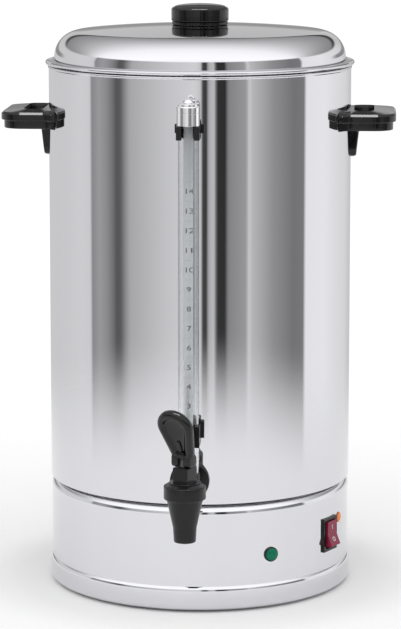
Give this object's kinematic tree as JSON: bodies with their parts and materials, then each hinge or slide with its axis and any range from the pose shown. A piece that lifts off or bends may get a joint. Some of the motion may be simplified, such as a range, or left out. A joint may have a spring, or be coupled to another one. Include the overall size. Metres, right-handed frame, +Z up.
{
  "type": "coffee urn",
  "caption": "Tall round steel coffee urn with a domed lid, side handles, a sight gauge, a lever tap and a percolator inside.",
  "frame": {"origin": "on the table, under the middle of the tank, in the plane of the foot ring", "axes": "+Z up along the tank's axis; -Y to the front, where the tap is; +X to the right as seen from the front"},
  "size_m": [0.363, 0.376, 0.54],
  "materials": {
    "polished_steel": "polished stainless steel",
    "inner_steel": "satin stainless steel",
    "plated_steel": "zinc plated steel",
    "chrome": "bright chrome",
    "spring_steel": "drawn wire",
    "black_plastic": "satin moulded plastic",
    "black_rubber": "matt rubber",
    "silicone": "matt silicone",
    "clear_plastic": "clear moulded tube",
    "sight_glass": "clear glass tube",
    "scale_strip": "printed strip",
    "red_rocker": "translucent red plastic",
    "green_lens": "translucent green plastic",
    "amber_lens": "translucent amber plastic",
    "ivory_plastic": "moulded plastic",
    "aluminium": "cast and machined",
    "heater_sheath": "oxidised heater sheath",
    "brass": "machined brass"
  },
  "bodies": {
    "urn": {"tank": "polished_steel", "tank_floor": "inner_steel", "base_skirt": "polished_steel", "plinth": "polished_steel", "base_plate": "plated_steel", "foot_ring": "black_rubber", "base_screws": "plated_steel", "heat_plate": "aluminium", "main_heater": "heater_sheath", "keep_warm_heater": "heater_sheath", "heater_stud": "inner_steel", "heater_clamp": "inner_steel", "clamp_nut": "brass", "thermostat": "aluminium", "thermal_cutout": "ivory_plastic", "terminal_block": "ivory_plastic", "mains_inlet": "black_plastic", "inlet_pins": "brass", "inlet_screws": "inner_steel", "switch_housing": "black_plastic", "switch_terminals": "brass", "ready_lamp_rim": "black_plastic", "ready_lamp_lens": "green_lens", "ready_lamp_body": "ivory_plastic", "brew_lamp_rim": "black_plastic", "brew_lamp_lens": "amber_lens", "brew_lamp_body": "ivory_plastic", "handle_left": "black_plastic", "handle_right": "black_plastic", "handle_screws": "inner_steel", "handle_seals": "silicone", "tap_body": "black_plastic", "tap_outer_seal": "black_rubber", "tap_inner_seal": "silicone", "tap_nut": "black_plastic", "tap_bonnet": "black_plastic", "tap_spring": "spring_steel", "gauge_sight_tube": "sight_glass", "gauge_guard": "clear_plastic", "gauge_scale": "scale_strip", "gauge_cap": "chrome", "gauge_holder": "black_plastic", "gauge_clip": "black_plastic", "gauge_grommet": "silicone", "gauge_studs": "inner_steel"},
    "lid": {"lid": "polished_steel", "lid_knob": "black_plastic", "knob_washer": "black_rubber", "knob_screw": "inner_steel"},
    "percolator": {"riser_tube": "inner_steel", "pump_bell": "inner_steel", "filter_basket": "inner_steel"},
    "basket_cover": {"basket_cover": "inner_steel"},
    "stem": {"tap_stem": "chrome", "tap_seat": "silicone", "lever_pin": "chrome"},
    "lever": {"tap_lever": "black_plastic"},
    "rocker": {"switch_rocker": "red_rocker"}
  },
  "joints": [
    {"name": "lid_lift", "type": "slide", "parent": "urn", "child": "lid", "axis": [0, 0, 1], "range_m": [0, 0.5]},
    {"name": "percolator_lift", "type": "slide", "parent": "urn", "child": "percolator", "axis": [0, 0, 1], "range_m": [0, 0.4]},
    {"name": "cover_lift", "type": "slide", "parent": "percolator", "child": "basket_cover", "axis": [0, 0, 1], "range_m": [0, 0.075]},
    {"name": "stem_lift", "type": "slide", "parent": "urn", "child": "stem", "axis": [0, 0, 1], "range_m": [0, 0.00445], "stiffness_N_per_m": 2500, "springref_m": -0.004, "deforming": ["tap_spring"]},
    {"name": "lever_pull", "type": "hinge", "parent": "stem", "child": "lever", "pos_m": [0, -0.205, 0.1557], "axis": [0.8829, -0.4695, 0], "range_deg": [0, 50]},
    {"name": "rocker_tilt", "type": "hinge", "parent": "urn", "child": "rocker", "pos_m": [0.12207, -0.06436, 0.0566], "axis": [0.4664, 0.8846, 0], "range_deg": [0, 20]}
  ],
  "couplings": [
    {"joint": "percolator_lift", "follows": "lid_lift", "ratio": 0.8},
    {"joint": "cover_lift", "follows": "lid_lift", "ratio": 0.15},
    {"joint": "lever_pull", "follows": "stem_lift", "rad_per_m": 196.08}
  ]
}
